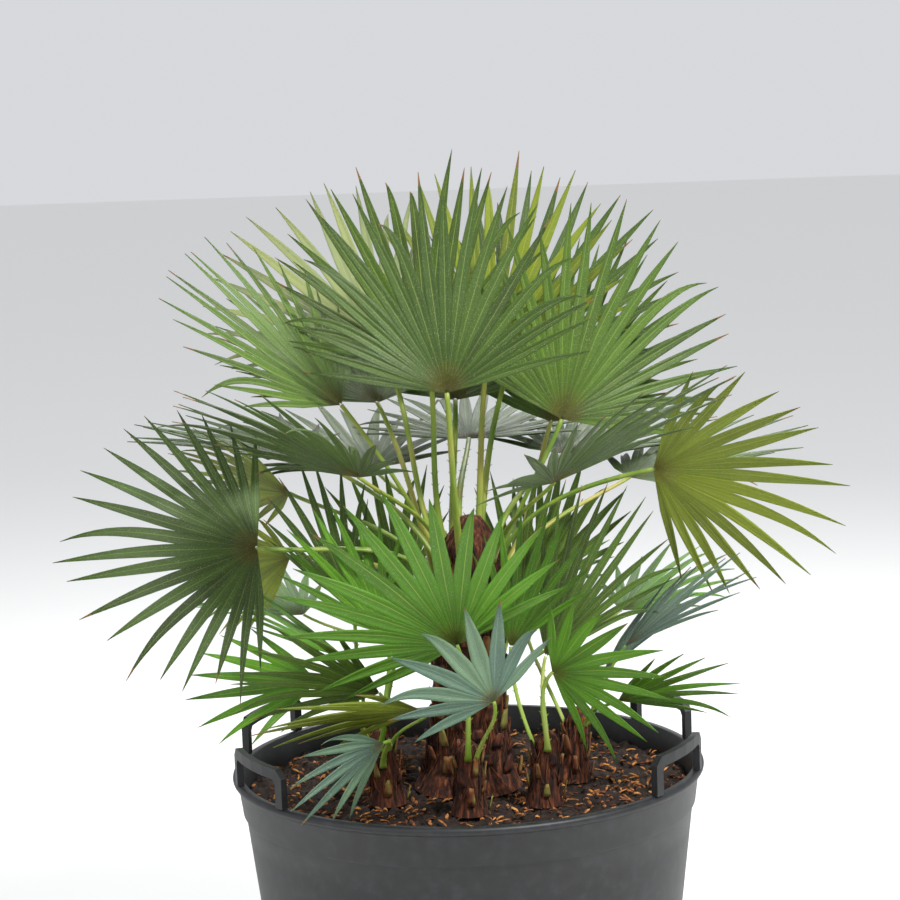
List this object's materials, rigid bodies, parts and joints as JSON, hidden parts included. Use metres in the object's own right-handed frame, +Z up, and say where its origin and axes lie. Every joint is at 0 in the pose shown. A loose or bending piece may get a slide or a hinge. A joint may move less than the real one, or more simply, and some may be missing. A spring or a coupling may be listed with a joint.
{
  "type": "potted european fan palm",
  "caption": "European fan palm with a fibrous trunk, stiff fan-shaped fronds and sucker fronds, in a black plastic nursery tub with loop handles.",
  "frame": {"origin": "centre of the tub's flat underside, on the ground", "axes": "+Z up, -Y toward the front of the plant, +X to its right as seen from the front"},
  "size_m": [1.1002, 0.9784, 1.3808],
  "materials": {
    "black_plastic": "moulded, slightly scuffed",
    "compost": "loose compost with bark",
    "trunk_fibre": "matted fibre and cut leaf bases",
    "sucker_sheath": "fibrous sheath",
    "leaf": "waxy",
    "young_leaf": "waxy"
  },
  "bodies": {
    "root": {"compost": "compost", "frond_back_high_1": "leaf", "frond_back_high_2": "leaf", "frond_back_high_3": "leaf", "frond_back_low_1": "leaf", "frond_back_low_2": "leaf", "frond_back_low_3": "leaf", "frond_back_low_4": "leaf", "frond_back_low_5": "leaf", "frond_back_right": "leaf", "frond_far_left": "leaf", "frond_far_right": "leaf", "frond_front_centre": "leaf", "frond_left_back": "leaf", "frond_left_low": "leaf", "frond_left_middle": "leaf", "frond_left_upper": "leaf", "frond_right_middle": "leaf", "frond_right_upper": "leaf", "frond_top_left": "leaf", "frond_top_pale": "leaf", "frond_top_right": "leaf", "sucker_back": "sucker_sheath", "sucker_frond_back_1": "young_leaf", "sucker_frond_back_2": "young_leaf", "sucker_frond_back_3": "young_leaf", "sucker_frond_back_4": "young_leaf", "sucker_frond_behind_left": "young_leaf", "sucker_frond_behind_right": "young_leaf", "sucker_frond_blue": "young_leaf", "sucker_frond_flat_left": "young_leaf", "sucker_frond_front": "young_leaf", "sucker_frond_inner_left": "young_leaf", "sucker_frond_inner_right": "young_leaf", "sucker_frond_left": "young_leaf", "sucker_frond_left_side": "young_leaf", "sucker_frond_left_tall": "young_leaf", "sucker_frond_low_left": "young_leaf", "sucker_frond_low_right": "young_leaf", "sucker_frond_low_side": "young_leaf", "sucker_frond_middle_right": "young_leaf", "sucker_frond_right_blue": "young_leaf", "sucker_frond_right_folded": "young_leaf", "sucker_frond_right_tall": "young_leaf", "sucker_frond_spear": "young_leaf", "sucker_front": "sucker_sheath", "sucker_front_left": "sucker_sheath", "sucker_front_right": "sucker_sheath", "sucker_left": "sucker_sheath", "sucker_right": "sucker_sheath", "trunk": "trunk_fibre", "tub": "black_plastic", "tub_handle_back_left": "black_plastic", "tub_handle_back_right": "black_plastic", "tub_handle_front_left": "black_plastic", "tub_handle_front_right": "black_plastic"}
  },
  "joints": []
}
